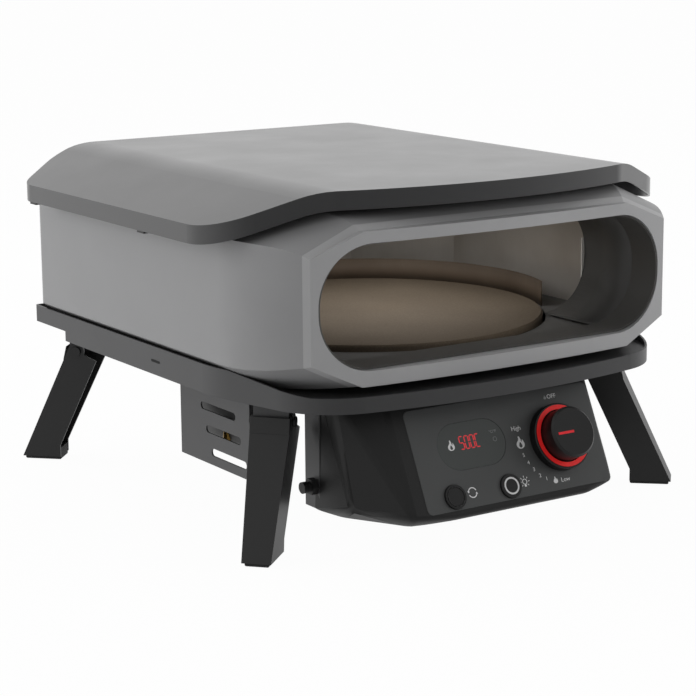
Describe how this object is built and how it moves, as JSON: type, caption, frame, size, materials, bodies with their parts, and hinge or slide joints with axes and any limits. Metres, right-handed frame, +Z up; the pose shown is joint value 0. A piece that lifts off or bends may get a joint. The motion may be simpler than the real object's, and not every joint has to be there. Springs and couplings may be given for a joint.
{
  "type": "portable pizza oven",
  "caption": "Portable gas pizza oven with a roof-like lid, wide front mouth, turning stone, sloping control panel and folding legs.",
  "frame": {"origin": "middle of the footprint on the ground", "axes": "+Z up, +X to the right seen from the front, +Y to the rear"},
  "size_m": [0.484, 0.5254, 0.3075],
  "materials": {
    "body_paint": "satin light grey",
    "bezel_paint": "satin light grey",
    "lid_paint": "satin dark grey",
    "tray_paint": "satin dark grey",
    "dark_paint": "matt black",
    "leg_paint": "satin black",
    "liner_steel": "brushed",
    "sleeve_steel": "heat darkened",
    "floor_steel": "matt",
    "stone": "fired, matt",
    "burner_steel": "brushed",
    "plain_steel": "plain",
    "brass": "plain",
    "black_plastic": "fine texture",
    "panel_plastic": "fine texture",
    "knob_plastic": "satin",
    "display_glass": "gloss, smoked",
    "board_green": "solder mask",
    "ring_white": "pale",
    "ring_red": "lit ring",
    "pad_rubber": "matt",
    "lamp_ceramic": "unglazed",
    "lamp_glass": "clear",
    "motor_steel": "zinc plated"
  },
  "bodies": {
    "base": {"body_shell": "body_paint", "front_bezel": "bezel_paint", "mouth_sleeve": "sleeve_steel", "lid_cover": "lid_paint", "lid_clips": "leg_paint", "base_tray": "tray_paint", "liner_wall": "liner_steel", "liner_roof": "sleeve_steel", "floor_plate": "floor_steel", "shaft_bush": "brass", "gear_motor": "motor_steel", "motor_bracket": "plain_steel", "burner_tube": "burner_steel", "burner_guard": "burner_steel", "mixing_tube": "plain_steel", "gas_jet": "brass", "gas_pipe": "plain_steel", "supply_pipe": "plain_steel", "gas_valve": "brass", "gas_inlet": "leg_paint", "igniter": "lamp_ceramic", "flame_sensor": "lamp_ceramic", "probe_bracket": "plain_steel", "lamp_body": "lamp_ceramic", "lamp_lens": "lamp_glass", "vent_box": "tray_paint", "leg_brackets": "tray_paint", "hinge_pins": "plain_steel", "control_housing": "black_plastic", "control_panel": "panel_plastic", "display_window": "display_glass", "display_board": "board_green", "button_switches": "knob_plastic", "circuit_board": "board_green", "knob_base": "knob_plastic", "glow_ring": "ring_red", "side_bracket": "tray_paint"},
    "stone_table": {"pizza_stone": "stone", "turntable": "plain_steel", "drive_shaft": "plain_steel"},
    "knob": {"knob_cap": "knob_plastic"},
    "spindle": {"valve_spindle": "plain_steel"},
    "rotate_key": {"rotate_button": "knob_plastic"},
    "light_key": {"light_button": "knob_plastic", "light_ring": "ring_white"},
    "leg_front_left": {"leg_front_left": "leg_paint", "foot_pad_front_left": "pad_rubber"},
    "leg_front_right": {"leg_front_right": "leg_paint", "foot_pad_front_right": "pad_rubber"},
    "leg_rear_left": {"leg_rear_left": "leg_paint", "foot_pad_rear_left": "pad_rubber"},
    "leg_rear_right": {"leg_rear_right": "leg_paint", "foot_pad_rear_right": "pad_rubber"}
  },
  "joints": [
    {"name": "stone_spin", "type": "hinge", "parent": "base", "child": "stone_table", "pos_m": [0, -0.01129, 0.145], "axis": [0, 0, 1], "continuous": true},
    {"name": "knob_push", "type": "slide", "parent": "base", "child": "spindle", "axis": [0, 0.9008, -0.4341], "range_m": [0, 0.003], "stiffness_N_per_m": 1500, "springref_m": -0.002},
    {"name": "knob_turn", "type": "hinge", "parent": "spindle", "child": "knob", "pos_m": [0.053, -0.24483, 0.08495], "axis": [0, -0.9008, 0.4341], "range_deg": [-95, 85]},
    {"name": "rotate_press", "type": "slide", "parent": "base", "child": "rotate_key", "axis": [0, 0.9008, -0.4341], "range_m": [0, 0.0015], "stiffness_N_per_m": 1000, "springref_m": -0.001},
    {"name": "light_press", "type": "slide", "parent": "base", "child": "light_key", "axis": [0, 0.9008, -0.4341], "range_m": [0, 0.0015], "stiffness_N_per_m": 1000, "springref_m": -0.001},
    {"name": "fold_front_left", "type": "hinge", "parent": "base", "child": "leg_front_left", "pos_m": [-0.1845, -0.14629, 0.111], "axis": [0.682, -0.7314, 0], "range_deg": [0, 112]},
    {"name": "fold_front_right", "type": "hinge", "parent": "base", "child": "leg_front_right", "pos_m": [0.1845, -0.14629, 0.111], "axis": [0.682, 0.7314, 0], "range_deg": [0, 112]},
    {"name": "fold_rear_left", "type": "hinge", "parent": "base", "child": "leg_rear_left", "pos_m": [-0.1845, 0.21321, 0.111], "axis": [-0.682, -0.7314, 0], "range_deg": [0, 112]},
    {"name": "fold_rear_right", "type": "hinge", "parent": "base", "child": "leg_rear_right", "pos_m": [0.1845, 0.21321, 0.111], "axis": [-0.682, 0.7314, 0], "range_deg": [0, 112]}
  ]
}
